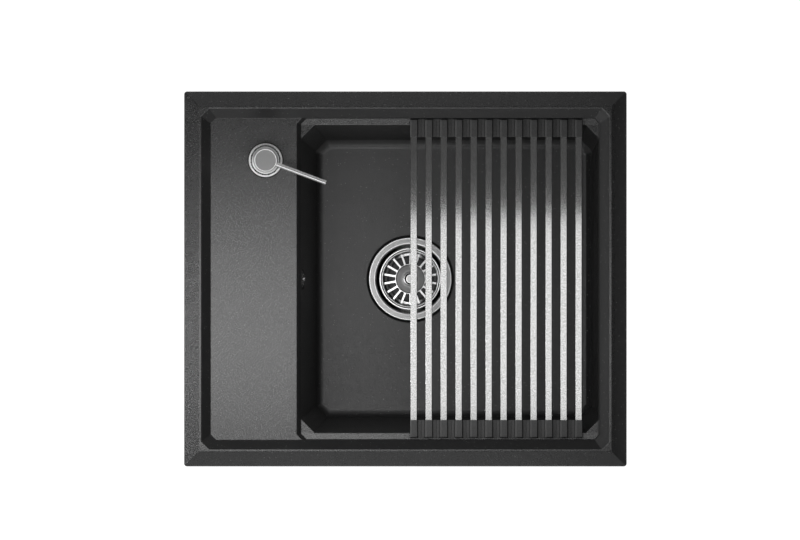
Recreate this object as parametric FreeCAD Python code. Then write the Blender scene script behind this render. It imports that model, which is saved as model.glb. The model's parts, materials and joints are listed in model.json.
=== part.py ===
import FreeCAD, Part
import math
import os
from FreeCAD import Vector

# Inset kitchen sink of moulded stone composite, with a basket strainer waste, an overflow,
# a built-in soap dispenser and a roll-up drying rack.
# Millimetres. X runs to the right, Y to the back wall and Z up. The origin is the middle of
# the sink in plan, on the plane of the worktop, where the underside of the rim rests.

# Working values
overrun = 1.0
weld = 0.5
tiny = 0.001
full_turn = 360.0
quarter_turn = 90.0

# Fits
thread_clearance = 0.1
push_fit_clearance = 0.2
piston_clearance = 0.06
seat_gap = 0.2
fold_gap = 0.2

# Basin: plan, rim and recess
basin_length = 590.0
basin_width = 500.0
outer_corner_radius = 4.0
rim_edge_height = 3.0
rim_edge_radius = 1.8
rim_bevel_width = 20.0
rim_bevel_height = 6.0
rim_land_width = 2.5
rim_land_radius = 1.2
recess_depth = 12.0
recess_run = 13.0
recess_top_corner = 10.5
recess_floor_corner = 7.3

# Basin: shelf, ledges and bowl
shelf_width = 115.0
shelf_edge_radius = 1.5
step_depth = 16.0
step_run = 5.3
pocket_lean = 0.6
ledge_width = 9.0
ledge_edge_radius = 1.2
bowl_depth = 200.0
bowl_top_corner = 18.0
bowl_floor_corner = 14.7
left_wall_run = 20.7
right_wall_run = 10.5
end_wall_run = 21.0
floor_radius = 12.0

# Basin: thickness of the stone
wall_thickness = 9.0
shelf_thickness = 11.0
ledge_thickness = 14.0
floor_thickness = 10.0
flank_thickness = 3.5
flank_corner = 14.0
tap_knockout_radius = 17.5
tap_knockout_depth = 7.0

# Worktop, its cut-out and the seal under the rim
worktop_thickness = 38.0
worktop_overlap = 10.0
seal_width = 5.0
seal_depth = 1.5
seal_corner_radius = 3.0

# Worktop clips
clip_long_shares = (-0.66, 0.0, 0.66)
clip_short_shares = (-0.44, 0.44)
bracket_width = 24.0
bracket_sheet = 2.0
bracket_head_room = 3.0
bracket_drop = 14.0
bracket_bend_radius = 3.0
bracket_end_margin = 0.5
clip_bite_share = 0.5
bracket_screw_height_share = 0.775
bracket_screw_radius = 2.0
bracket_screw_depth = 6.5
bracket_screw_head_radius = 4.2
bracket_screw_head_height = 2.4
clamp_screw_radius = 3.0
clamp_screw_tail = 10.0
clamp_pad_radius = 4.0
clamp_pad_height = 2.5
clamp_head_radius = 4.5
clamp_head_height = 4.0
slot_width = 1.2
slot_depth = 1.2

# Waste: where it sits and the hole in the stone
waste_x = 6.5
waste_y = 0.0
waste_recess_radius = 57.3
waste_recess_depth = 3.5
waste_hole_radius = 48.0

# Waste: strainer flange and its gasket
flange_radius = 55.2
flange_mouth_radius = 45.6
flange_sheet = 1.0
flange_lip = 0.9
flange_lip_radius = 0.8
flange_mouth_bend = 2.4
cup_depth = 21.0
cup_wall_depth = 16.0
cup_wall_lean = 2.0
cup_floor_radius = 34.0
cup_bend_radius = 3.0
drain_hole_radius = 6.0
drain_hole_count = 8
drain_hole_circle = 21.0
gasket_thickness = 1.5
gasket_inset = 1.6

# Waste: lower body and its gasket
body_gasket_thickness = 3.0
body_gasket_width = 7.0
body_rim_height = 5.0
body_wall = 3.0
body_room = 1.2
body_bowl_drop = 30.0
body_taper_drop = 16.0
outlet_radius = 23.9
outlet_wall = 2.9
outlet_length = 32.0
outlet_edge = 1.0
boss_radius = 7.5
boss_length = 24.0
boss_rib_count = 3
boss_rib_thickness = 3.0
boss_rib_height = 9.0
waste_screw_radius = 3.0
waste_screw_head_radius = 8.5
waste_screw_head_height = 3.5
waste_screw_length = 20.0
waste_screw_socket_radius = 3.4
waste_screw_socket_depth = 2.5

# Strainer basket, its knob, stem and stopper seal
basket_radius = 41.4
basket_bead_width = 2.0
basket_bead_height = 1.8
basket_gutter_width = 1.6
basket_gutter_depth = 0.5
basket_mouth_radius = 36.7
basket_sheet = 0.8
basket_rim_drop = 4.5
basket_wall_height = 9.5
basket_wall_lean = 0.9
hub_radius = 19.4
hub_rise = 1.0
hub_dome_rise = 6.8
hub_dome_radius = 17.0
hub_crown_share = 0.5
basket_slot_count = 18
basket_rib_width = 2.6
slot_inner_radius = 20.2
slot_outer_radius = 35.4
slot_corner_radius = 1.2
knob_radius = 7.7
knob_neck_radius = 5.0
knob_neck_height = 4.0
knob_cap_height = 3.6
knob_edge_radius = 1.1
knob_button_radius = 4.9
knob_groove_width = 0.8
knob_groove_depth = 0.7
stem_radius = 3.6
stem_plate_radius = 28.5
stem_plate_thickness = 1.2
stopper_radius = 31.0
stopper_inner_radius = 9.6
stopper_thickness = 4.4
stopper_edge_radius = 1.2
stem_pin_radius = 2.9
stem_pin_length = 1.6

# Overflow
overflow_drop = 21.0
overflow_recess_radius = 14.0
overflow_recess_depth = 2.5
overflow_hole_radius = 10.0
overflow_seat_thickness = 8.4
rosette_radius = 11.2
rosette_edge = 1.6
rosette_dome = 2.6
rosette_sheet = 1.2
rosette_edge_radius = 0.7
rosette_hole_count = 6
rosette_hole_radius = 2.7
rosette_hole_circle = 7.0
rosette_screw_radius = 2.0
rosette_screw_head_radius = 3.4
rosette_screw_head_height = 1.6
overflow_gasket_thickness = 2.5
overflow_gasket_margin = 0.5
overflow_head_radius = 16.0
overflow_head_depth = 24.0
overflow_head_wall = 2.2
overflow_post_radius = 4.0
pipe_radius = 9.0
pipe_wall = 1.4
socket_wall = 2.0
socket_drop = 34.0
socket_grip = 14.0
branch_length = 30.0
branch_drop = 16.0
pipe_bend_radius = 38.0
nut_wall = 3.4
nut_length = 18.0
nut_overlap = 13.0
nut_sides = 12

# Soap dispenser: where it sits and what holds it to the shelf
dispenser_from_left = 73.0
dispenser_from_back = 56.2
dispenser_hole_radius = 17.5
dispenser_seal_radius = 21.2
dispenser_seal_thickness = 1.2
shank_radius = 14.0
shank_wall = 2.0
shank_collar_radius = 20.0
shank_collar_height = 1.6
shank_length = 42.0
cover_radius = 22.5
cover_height = 9.8
cover_top_radius = 15.2
cover_sheet = 1.0
cover_edge = 1.0
cover_bend = 1.6
cover_top_edge = 1.6
washer_radius = 24.0
washer_thickness = 2.6
dispenser_nut_radius = 21.0
dispenser_nut_height = 11.0
dispenser_nut_wings = 6
dispenser_nut_wing_width = 5.0
dispenser_nut_wing_reach = 4.0
bottle_radius = 31.0
bottle_wall = 1.6
bottle_neck_length = 16.0
bottle_shoulder = 13.0
bottle_height = 122.0
bottle_edge_radius = 6.0

# Soap dispenser: the pump
pump_collar_lip = 1.0
pump_collar_lip_height = 1.4
pump_collar_depth = 18.0
pump_bore_clearance = 0.4
cylinder_radius = 8.4
cylinder_wall = 1.4
cylinder_length = 34.0
valve_seat_length = 9.0
valve_bore_radius = 2.9
ball_radius = 2.3
dip_tube_radius = 3.4
dip_tube_wall = 0.9
dip_tube_floor_gap = 5.0
pump_travel = 12.0
head_clearance = 15.0
head_radius = 15.5
head_height = 17.0
head_edge_radius = 1.0
head_rim_width = 1.6
head_rim_edge = 0.4
head_dish_depth = 0.6
head_skirt_radius = 1.0
neck_radius = 9.2
neck_bore_radius = 4.6
pump_stem_radius = 3.6
pump_stem_wall = 1.1
stem_in_head = 12.0
piston_height = 6.0
spring_wire_radius = 0.55
spring_turns = 6
spring_side_gap = 0.5
spring_end_gap = 0.3
nozzle_radius = 3.0
nozzle_wall = 0.7
nozzle_reach = 86.0
nozzle_angle = -20.4
nozzle_seat_depth = 6.0
nozzle_height_share = 0.45

# Drying rack
rack_bar_count = 12
rack_pitch = 20.0
rack_right_gap = 22.8
rack_end_clearance = 1.15
rack_middle_y = 0.6
cap_width = 10.0
cap_length = 23.0
cap_height = 8.4
cap_edge_radius = 0.5
web_thickness = 2.4
web_overhang = 1.1
bar_width = 8.8
bar_height = 5.2
bar_wall = 0.8
bar_edge_radius = 0.7
cap_end_wall = 2.0

# Levels and half sizes that follow from the sizes above
half_length = basin_length / 2
half_width = basin_width / 2
land_z = rim_edge_height + rim_bevel_height
shelf_z = land_z - recess_depth
ledge_z = shelf_z - step_depth
floor_z = land_z - bowl_depth
shelf_under_z = shelf_z - shelf_thickness
ledge_under_z = ledge_z - ledge_thickness
floor_under_z = floor_z - floor_thickness
recess_half_x = half_length - rim_bevel_width - rim_land_width
recess_half_y = half_width - rim_bevel_width - rim_land_width
tray_half_x = recess_half_x - recess_run
tray_half_y = recess_half_y - recess_run
skirt_half_x = tray_half_x + wall_thickness
skirt_half_y = tray_half_y + wall_thickness
shelf_edge_x = shelf_width - tray_half_x
bowl_left = shelf_edge_x + step_run
bowl_right = tray_half_x - pocket_lean
pocket_half_y = tray_half_y - pocket_lean
bowl_half_y = pocket_half_y - ledge_width
dispenser_x = dispenser_from_left - tray_half_x
dispenser_y = tray_half_y - dispenser_from_back
rack_left = bowl_right - rack_right_gap - rack_pitch * (rack_bar_count - 1) - cap_width
cap_half_length = pocket_half_y - rack_end_clearance - web_overhang


def rectangle(half_x, half_y, z):
    """Corners of an oblong about the middle of the sink, at height z."""
    return [
        Vector(-half_x, -half_y, z),
        Vector(half_x, -half_y, z),
        Vector(half_x, half_y, z),
        Vector(-half_x, half_y, z),
    ]


def cut_rectangle(left, right, half_y, corner, z):
    """Corners of an oblong whose own corners are cut off at 45 degrees, at height z."""
    return [
        Vector(left + corner, -half_y, z),
        Vector(right - corner, -half_y, z),
        Vector(right, -half_y + corner, z),
        Vector(right, half_y - corner, z),
        Vector(right - corner, half_y, z),
        Vector(left + corner, half_y, z),
        Vector(left, half_y - corner, z),
        Vector(left, -half_y + corner, z),
    ]


def flat_face(corners):
    """Flat face with straight sides between corners."""
    return Part.Face(Part.makePolygon(corners + corners[:1]))


def stacked(*levels):
    """Solid with flat sides between levels that have as many corners each."""
    levels = sorted(levels, key=lambda corners: corners[0].z)
    faces = [flat_face(levels[0][::-1]), flat_face(levels[-1])]
    for lower, upper in zip(levels, levels[1:]):
        for index in range(len(lower)):
            following = (index + 1) % len(lower)
            faces.append(flat_face([lower[index], lower[following], upper[following], upper[index]]))
    shell = Part.Shell(faces)
    shell.sewShape()
    return Part.Solid(shell)


def block(low_x, high_x, low_y, high_y, low_z, high_z):
    """Box between two opposite corners."""
    return Part.makeBox(high_x - low_x, high_y - low_y, high_z - low_z, Vector(low_x, low_y, low_z))


def rod(radius, low_z, high_z, centre=Vector(0, 0, 0)):
    """Upright round bar from low_z to high_z on the line through centre."""
    return Part.makeCylinder(radius, high_z - low_z, Vector(centre.x, centre.y, low_z))


def tube(outer_radius, inner_radius, low_z, high_z, centre=Vector(0, 0, 0)):
    """Upright round tube from low_z to high_z on the line through centre."""
    bore = rod(inner_radius, low_z - overrun, high_z + overrun, centre)
    return rod(outer_radius, low_z, high_z, centre).cut(bore)


def rounded_outline(points):
    """Closed wire in the XZ plane through (x, z) or (x, z, corner radius) points."""
    stations = []
    count = len(points)
    for index in range(count):
        here = Vector(points[index][0], 0, points[index][1])
        radius = points[index][2] if len(points[index]) > 2 else 0
        if radius == 0:
            stations.append((here, here, None))
            continue
        before = Vector(points[index - 1][0], 0, points[index - 1][1]) - here
        after = Vector(points[(index + 1) % count][0], 0, points[(index + 1) % count][1]) - here
        half_angle = before.getAngle(after) / 2
        reach = radius / math.tan(half_angle)
        towards_before = Vector(before).normalize()
        towards_after = Vector(after).normalize()
        inward = (towards_before + towards_after).normalize()
        middle = here + inward * (radius / math.sin(half_angle) - radius)
        stations.append((here + towards_before * reach, here + towards_after * reach, middle))
    edges = []
    for index in range(count):
        start, end, middle = stations[index]
        if middle is not None:
            edges.append(Part.Arc(start, middle, end).toShape())
        following = stations[(index + 1) % count][0]
        if end.distanceToPoint(following) > tiny:
            edges.append(Part.LineSegment(end, following).toShape())
    return Part.Wire(edges)


def turned(points, centre=Vector(0, 0, 0)):
    """Round solid about the upright line through centre, from points of radius and height."""
    face = Part.Face(rounded_outline(points))
    solid = face.revolve(Vector(0, 0, 0), Vector(0, 0, 1), full_turn)
    solid.translate(Vector(centre.x, centre.y, 0))
    return solid


def extruded(points, half_depth):
    """Solid with an XZ outline, reaching half_depth to both sides along Y."""
    face = Part.Face(rounded_outline(points))
    face.translate(Vector(0, -half_depth, 0))
    return face.extrude(Vector(0, half_depth + half_depth, 0))


def around(count):
    """Angles in degrees that share a full turn evenly."""
    return [full_turn * step / count for step in range(count)]


def turned_to(shape, angle, centre):
    """Copy of a shape, turned about the upright line through centre."""
    copy = shape.copy()
    copy.rotate(Vector(centre.x, centre.y, 0), Vector(0, 0, 1), angle)
    return copy


def all_at(edge, level):
    """True where both ends of an edge lie at one height."""
    return all(abs(vertex.Z - level) < tiny for vertex in edge.Vertexes)


def upright(edge):
    """True for a straight edge that runs along Z."""
    box = edge.BoundBox
    return box.XLength < tiny and box.YLength < tiny


def rounded_block(shape, radius):
    """Solid with its upright edges rounded."""
    return shape.makeFillet(radius, [edge for edge in shape.Edges if upright(edge)])


def write(shape, name):
    """Save one piece, or one group of like pieces, under its name."""
    shape.exportStep("parts/" + name + ".step")


# The basin

def bowl_outline(z, outward=0):
    """Outline of the bowl's inside at height z, moved outward by the given amount."""
    share = (ledge_z - z) / (ledge_z - floor_z)
    left = bowl_left + left_wall_run * share - outward
    right = bowl_right - right_wall_run * share + outward
    half_y = bowl_half_y - end_wall_run * share + outward
    corner = bowl_top_corner + (bowl_floor_corner - bowl_top_corner) * share
    grown_corner = corner + outward * (2 - math.sqrt(2))
    return cut_rectangle(left, right, half_y, grown_corner, z)


def rim_blank():
    """Flat ring of the rim before it is hollowed: upright edge, wide bevel and narrow land."""
    blank = stacked(
        rectangle(half_length, half_width, 0),
        rectangle(half_length, half_width, rim_edge_height),
        rectangle(half_length - rim_bevel_width, half_width - rim_bevel_width, land_z),
    )
    edges = [edge for edge in blank.Edges if all_at(edge, rim_edge_height)]
    blank = blank.makeFillet(rim_edge_radius, edges)
    slab = block(-half_length, half_length, -half_width, half_width, 0, land_z)
    return blank.common(rounded_block(slab, outer_corner_radius)).Solids[0]


def basin_outside():
    """The basin as a solid lump: rim, tray, skirt, ledge collar and the outside of the bowl."""
    tray_corner = recess_floor_corner + wall_thickness * (2 - math.sqrt(2))
    tray = stacked(
        cut_rectangle(-recess_half_x - flank_thickness, recess_half_x + flank_thickness,
                      recess_half_y + flank_thickness, flank_corner, weld),
        cut_rectangle(-skirt_half_x, skirt_half_x, skirt_half_y, tray_corner, shelf_under_z),
    )
    skirt = stacked(
        cut_rectangle(-skirt_half_x, skirt_half_x, skirt_half_y, tray_corner, shelf_under_z + weld),
        cut_rectangle(-skirt_half_x, skirt_half_x, skirt_half_y, tray_corner, ledge_under_z),
    )
    skirt_hollow = stacked(
        cut_rectangle(-tray_half_x, bowl_left - wall_thickness, tray_half_y,
                      recess_floor_corner, shelf_under_z),
        cut_rectangle(-tray_half_x, bowl_left - wall_thickness, tray_half_y,
                      recess_floor_corner, ledge_under_z - overrun),
    )
    outside = stacked(
        bowl_outline(ledge_under_z + weld, wall_thickness),
        bowl_outline(floor_under_z, wall_thickness),
    )
    foot_edges = [edge for edge in outside.Edges if all_at(edge, floor_under_z)]
    outside = outside.makeFillet(floor_radius + wall_thickness, foot_edges)
    lower = skirt.cut(skirt_hollow).fuse(outside)
    return rim_blank().fuse([tray, lower]).removeSplitter()


def bowl_tools():
    """What the mould's core takes out: the recess, the pocket over the ledges and the bowl."""
    recess = stacked(
        cut_rectangle(-recess_half_x, recess_half_x, recess_half_y, recess_top_corner, land_z),
        cut_rectangle(-tray_half_x, tray_half_x, tray_half_y, recess_floor_corner, shelf_z),
    )
    mouth = cut_rectangle(-recess_half_x, recess_half_x, recess_half_y, recess_top_corner, land_z)
    lift = flat_face(mouth).extrude(Vector(0, 0, overrun))
    pocket = stacked(
        cut_rectangle(shelf_edge_x, tray_half_x, tray_half_y, recess_floor_corner, shelf_z),
        cut_rectangle(bowl_left, bowl_right, pocket_half_y, recess_floor_corner, ledge_z),
    )
    bowl = stacked(bowl_outline(ledge_z), bowl_outline(floor_z))
    floor_edges = [edge for edge in bowl.Edges if all_at(edge, floor_z)]
    return [recess, lift, pocket, bowl.makeFillet(floor_radius, floor_edges)]


def is_land_edge(edge):
    """True for the edge between the rim's land and the recess."""
    inside = all(
        abs(vertex.X) < recess_half_x + tiny and abs(vertex.Y) < recess_half_y + tiny
        for vertex in edge.Vertexes
    )
    return inside and all_at(edge, land_z)


def is_shelf_edge(edge):
    """True for the edge of the shelf that faces the bowl, with its two short corner cuts."""
    right = shelf_edge_x + recess_floor_corner + tiny
    inside = all(shelf_edge_x - tiny < vertex.X < right for vertex in edge.Vertexes)
    return inside and all_at(edge, shelf_z)


def is_ledge_edge(edge):
    """True for the two long edges between the ledges and the bowl."""
    level = all_at(edge, ledge_z) and edge.BoundBox.YLength < tiny
    inside = all(abs(vertex.Y) < bowl_half_y + tiny for vertex in edge.Vertexes)
    return level and inside


def softened(shape, radius, chooser):
    """Shape with the chosen edges rounded."""
    return shape.makeFillet(radius, [edge for edge in shape.Edges if chooser(edge)])


def basin():
    """The stone basin with every hole and groove it carries."""
    stone = basin_outside().cut(bowl_tools()).removeSplitter()
    stone = softened(stone, rim_land_radius, is_land_edge)
    stone = softened(stone, shelf_edge_radius, is_shelf_edge)
    stone = softened(stone, ledge_edge_radius, is_ledge_edge)
    tap_x = (shelf_edge_x - tray_half_x) / 2
    tools = [
        rod(waste_recess_radius, floor_z - waste_recess_depth, floor_z + overrun, waste_centre),
        rod(waste_hole_radius, floor_under_z - overrun, floor_z, waste_centre),
        rod(dispenser_hole_radius, shelf_under_z - overrun, shelf_z + overrun, dispenser_centre),
        rod(tap_knockout_radius, shelf_under_z - overrun, shelf_under_z + tap_knockout_depth,
            Vector(tap_x, 0, 0)),
        seal_ring(),
        overflow_placed(rod(overflow_hole_radius, -wall_thickness - overrun, overrun)),
        overflow_placed(rod(overflow_recess_radius, -overflow_recess_depth, overrun)),
        overflow_placed(rod(overflow_head_radius + overrun, -overflow_seat_thickness - overflow_head_depth,
                            -overflow_seat_thickness)),
    ]
    pilot = rod(bracket_screw_radius + thread_clearance, -bracket_screw_depth - overrun, overrun)
    pilot.rotate(Vector(0, 0, 0), Vector(0, 1, 0), quarter_turn)
    pilot.translate(Vector(0, 0, bracket_screw_z))
    tools.extend(at_every_clip(pilot))
    return stone.cut(tools)


# The seal and the clips that hold the sink in the worktop

def seal_ring():
    """Foam strip in its groove under the rim, pressed flat by the worktop."""
    middle_x = half_length - worktop_overlap / 2
    middle_y = half_width - worktop_overlap / 2
    outer_x = middle_x + seal_width / 2
    outer_y = middle_y + seal_width / 2
    inner_x = middle_x - seal_width / 2
    inner_y = middle_y - seal_width / 2
    outer = block(-outer_x, outer_x, -outer_y, outer_y, 0, seal_depth)
    inner = block(-inner_x, inner_x, -inner_y, inner_y, -overrun, seal_depth + overrun)
    outer = rounded_block(outer, seal_corner_radius + seal_width)
    return outer.cut(rounded_block(inner, seal_corner_radius))


bracket_top_z = shelf_under_z - bracket_head_room
bracket_foot_z = -worktop_thickness - bracket_drop
bracket_screw_z = bracket_foot_z + (bracket_top_z - bracket_foot_z) * bracket_screw_height_share
bracket_reach = half_length - skirt_half_x - bracket_end_margin
clamp_reach = half_length - skirt_half_x - worktop_overlap * clip_bite_share


def at_every_clip(shape):
    """Copies of a shape drawn at the origin of the skirt's face, one at each clip."""
    copies = []
    for share in clip_long_shares:
        for side in (-1, 1):
            copy = turned_to(shape, side * quarter_turn, Vector(0, 0, 0))
            copy.translate(Vector(share * half_length, side * skirt_half_y, 0))
            copies.append(copy)
    for share in clip_short_shares:
        for side in (0, 1):
            copy = turned_to(shape, side * full_turn / 2, Vector(0, 0, 0))
            copy.translate(Vector((1 - side - side) * skirt_half_x, share * half_width, 0))
            copies.append(copy)
    return copies


def clip_brackets():
    """Bent steel strips, screwed upright to the skirt with a foot that reaches under the worktop."""
    outer_bend = bracket_bend_radius + bracket_sheet
    strip = extruded([
        (0, bracket_top_z),
        (bracket_sheet, bracket_top_z),
        (bracket_sheet, bracket_foot_z, bracket_bend_radius),
        (bracket_reach, bracket_foot_z),
        (bracket_reach, bracket_foot_z - bracket_sheet),
        (0, bracket_foot_z - bracket_sheet, outer_bend),
    ], bracket_width / 2)
    clamp_hole = rod(clamp_screw_radius + thread_clearance, bracket_foot_z - bracket_sheet - overrun,
                     bracket_foot_z + overrun, Vector(clamp_reach, 0, 0))
    screw_hole = rod(bracket_screw_radius + thread_clearance, -overrun, bracket_sheet + overrun)
    screw_hole.rotate(Vector(0, 0, 0), Vector(0, 1, 0), quarter_turn)
    screw_hole.translate(Vector(0, 0, bracket_screw_z))
    return Part.makeCompound(at_every_clip(strip.cut([clamp_hole, screw_hole])))


def slotted(shape, radius, top_z):
    """Shape with a screwdriver slot cut across its top."""
    slot = block(-radius - overrun, radius + overrun, -slot_width / 2, slot_width / 2,
                 top_z - slot_depth, top_z + overrun)
    return shape.cut(slot)


def bracket_screws():
    """Short screws that hold the brackets to the skirt."""
    head_top = bracket_sheet + bracket_screw_head_height
    screw = turned([
        (0, -bracket_screw_depth),
        (bracket_screw_radius, -bracket_screw_depth),
        (bracket_screw_radius, bracket_sheet),
        (bracket_screw_head_radius, bracket_sheet),
        (bracket_screw_head_radius, head_top, bracket_screw_head_height / 2),
        (0, head_top),
    ])
    screw = slotted(screw, bracket_screw_head_radius, head_top)
    screw.rotate(Vector(0, 0, 0), Vector(0, 1, 0), quarter_turn)
    screw.translate(Vector(0, 0, bracket_screw_z))
    return Part.makeCompound(at_every_clip(screw))


def clamp_screws():
    """Screws through the brackets' feet, whose pads press against the worktop from below."""
    pad_z = -worktop_thickness
    tail_z = bracket_foot_z - bracket_sheet - clamp_screw_tail
    head_z = tail_z - clamp_head_height
    screw = turned([
        (0, head_z),
        (clamp_head_radius, head_z, clamp_head_height / 4),
        (clamp_head_radius, tail_z),
        (clamp_screw_radius, tail_z),
        (clamp_screw_radius, pad_z - clamp_pad_height),
        (clamp_pad_radius, pad_z - clamp_pad_height),
        (clamp_pad_radius, pad_z),
        (0, pad_z),
    ])
    slot = block(-clamp_head_radius - overrun, clamp_head_radius + overrun, -slot_width / 2,
                 slot_width / 2, head_z - overrun, head_z + slot_depth)
    screw = screw.cut(slot)
    screw.translate(Vector(clamp_reach, 0, 0))
    return Part.makeCompound(at_every_clip(screw))


# The waste in the floor of the bowl

waste_centre = Vector(waste_x, waste_y, 0)
flange_seat_z = floor_z - waste_recess_depth + gasket_thickness
flange_top_z = flange_seat_z + flange_sheet
cup_floor_z = flange_top_z - cup_depth
cup_under_z = cup_floor_z - flange_sheet
cup_wall_radius = flange_mouth_radius - cup_wall_lean
body_top_z = floor_under_z - body_gasket_thickness
body_inner_radius = flange_mouth_radius + flange_sheet + body_room
body_bowl_z = body_top_z - body_rim_height - body_bowl_drop
body_foot_z = body_bowl_z - body_taper_drop
branch_z = body_top_z - body_rim_height - branch_drop
outlet_end_z = body_foot_z - outlet_length
socket_radius = pipe_radius + push_fit_clearance + socket_wall
branch_end_x = waste_x - body_inner_radius - body_wall - branch_length


def strainer_flange():
    """Pressed steel flange with a cup whose floor is pierced by a ring of drain holes."""
    lip_z = flange_seat_z - flange_lip
    wall_z = flange_top_z - cup_wall_depth
    flange = turned([
        (waste_screw_radius + thread_clearance, cup_floor_z),
        (cup_floor_radius, cup_floor_z, cup_bend_radius),
        (cup_wall_radius, wall_z, cup_bend_radius),
        (flange_mouth_radius, flange_top_z, flange_mouth_bend),
        (flange_radius, flange_top_z, flange_lip_radius),
        (flange_radius, lip_z),
        (flange_radius - flange_sheet, lip_z),
        (flange_radius - flange_sheet, flange_seat_z),
        (flange_mouth_radius + flange_sheet, flange_seat_z, flange_mouth_bend - flange_sheet),
        (cup_wall_radius + flange_sheet, wall_z, cup_bend_radius + flange_sheet),
        (cup_floor_radius, cup_under_z, cup_bend_radius),
        (waste_screw_radius + thread_clearance, cup_under_z),
    ], waste_centre)
    hole = rod(drain_hole_radius, cup_under_z - overrun, cup_floor_z + overrun,
               waste_centre + Vector(drain_hole_circle, 0, 0))
    return flange.cut([turned_to(hole, angle, waste_centre) for angle in around(drain_hole_count)])


def flange_gasket():
    """Rubber ring between the flange and the recess in the stone."""
    return tube(flange_radius - flange_sheet - gasket_inset, waste_hole_radius,
                floor_z - waste_recess_depth, flange_seat_z, waste_centre)


def body_gasket():
    """Thick rubber ring between the stone and the lower body."""
    return tube(waste_hole_radius + body_gasket_width, waste_hole_radius,
                body_top_z, floor_under_z, waste_centre)


def waste_body():
    """Plastic body under the floor, with a screw boss on ribs, a branch and the outlet."""
    rim_z = body_top_z - body_rim_height
    rim_radius = waste_hole_radius + body_gasket_width
    outer_radius = body_inner_radius + body_wall
    outlet_inner = outlet_radius - outlet_wall
    shell = turned([
        (body_inner_radius, body_top_z),
        (rim_radius, body_top_z),
        (rim_radius, rim_z),
        (outer_radius, rim_z),
        (outer_radius, body_bowl_z, body_wall),
        (outlet_radius, body_foot_z),
        (outlet_radius, outlet_end_z, outlet_edge),
        (outlet_inner, outlet_end_z),
        (outlet_inner, body_foot_z),
        (body_inner_radius, body_bowl_z, body_wall),
    ], waste_centre)
    branch = Part.makeCylinder(
        socket_radius, waste_x - body_inner_radius - branch_end_x,
        Vector(branch_end_x, waste_y, branch_z), Vector(1, 0, 0))
    branch = branch.cut(rod(body_inner_radius, outlet_end_z, body_top_z + overrun, waste_centre))
    bore = Part.makeCylinder(
        pipe_radius + push_fit_clearance, waste_x - branch_end_x - drain_hole_circle,
        Vector(branch_end_x - overrun, waste_y, branch_z), Vector(1, 0, 0))
    boss_low_z = cup_under_z - boss_length
    boss = rod(boss_radius, boss_low_z, cup_under_z, waste_centre)
    rib = block(0, body_inner_radius + weld, -boss_rib_thickness / 2, boss_rib_thickness / 2,
                boss_low_z, boss_low_z + boss_rib_height)
    rib.translate(waste_centre)
    ribs = [turned_to(rib, angle, waste_centre) for angle in around(boss_rib_count)]
    screw_bore = rod(waste_screw_radius + thread_clearance, cup_under_z - waste_screw_length - overrun,
                     cup_under_z + overrun, waste_centre)
    return shell.fuse([branch, boss] + ribs).cut([bore, screw_bore]).removeSplitter()


def waste_screw():
    """Screw that draws the flange and the lower body together through the floor."""
    head_z = cup_floor_z + waste_screw_head_height
    end_z = cup_under_z - waste_screw_length
    return turned([
        (0, end_z),
        (waste_screw_radius, end_z),
        (waste_screw_radius, cup_floor_z),
        (waste_screw_head_radius, cup_floor_z),
        (waste_screw_head_radius, head_z, waste_screw_head_height / 3),
        (waste_screw_socket_radius, head_z),
        (waste_screw_socket_radius, head_z - waste_screw_socket_depth),
        (0, head_z - waste_screw_socket_depth),
    ], waste_centre)


# The strainer basket that lifts out of the waste

stopper_top_z = cup_floor_z + stopper_thickness
plate_top_z = stopper_top_z + stem_plate_thickness
basket_rim_z = flange_top_z - basket_rim_drop
basket_low_z = basket_rim_z - basket_wall_height
hub_edge_z = basket_low_z + hub_rise
hub_top_z = hub_edge_z + hub_dome_rise
knob_cap_z = hub_top_z + knob_neck_height


def strainer_basket():
    """Pressed steel basket: beaded rim with a gutter, short wall, slotted dish and domed hub."""
    wall_radius = basket_mouth_radius - basket_wall_lean
    bead_inner = basket_radius - basket_bead_width
    bead_z = basket_rim_z + basket_bead_height - basket_sheet
    gutter_z = basket_rim_z - basket_gutter_depth
    gutter_middle = bead_inner - basket_gutter_width / 2
    sheet = basket_sheet
    basket = turned([
        (stem_radius + thread_clearance, hub_top_z),
        (hub_radius * hub_crown_share, hub_top_z, hub_dome_radius),
        (hub_radius, hub_edge_z, sheet),
        (wall_radius, basket_low_z, sheet),
        (basket_mouth_radius, basket_rim_z, sheet),
        (bead_inner - basket_gutter_width, basket_rim_z),
        (gutter_middle, gutter_z),
        (bead_inner, bead_z, sheet / 2),
        (basket_radius, bead_z, sheet),
        (basket_radius, gutter_z - sheet),
        (basket_mouth_radius + sheet, gutter_z - sheet),
        (wall_radius + sheet, basket_low_z - sheet, sheet),
        (hub_radius - sheet, hub_edge_z - sheet, sheet),
        (hub_radius * hub_crown_share, hub_top_z - sheet, hub_dome_radius - sheet),
        (stem_radius + thread_clearance, hub_top_z - sheet),
    ], waste_centre)
    return basket.cut([turned_to(basket_slot(), angle, waste_centre)
                       for angle in around(basket_slot_count)])


def basket_slot():
    """Prism between two ribs of the dish, narrower towards the hub."""
    half_pitch = math.pi / basket_slot_count
    corners = []
    for radius, side in ((slot_inner_radius, 1), (slot_outer_radius, 1),
                         (slot_outer_radius, -1), (slot_inner_radius, -1)):
        angle = side * (half_pitch - math.asin(basket_rib_width / 2 / radius))
        corners.append(Vector(radius * math.cos(angle), radius * math.sin(angle),
                              basket_low_z - basket_sheet - overrun))
    height = hub_rise + basket_sheet + overrun + overrun
    prism = flat_face(corners).extrude(Vector(0, 0, height))
    prism = rounded_block(prism, slot_corner_radius)
    prism.translate(waste_centre)
    return prism


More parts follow.
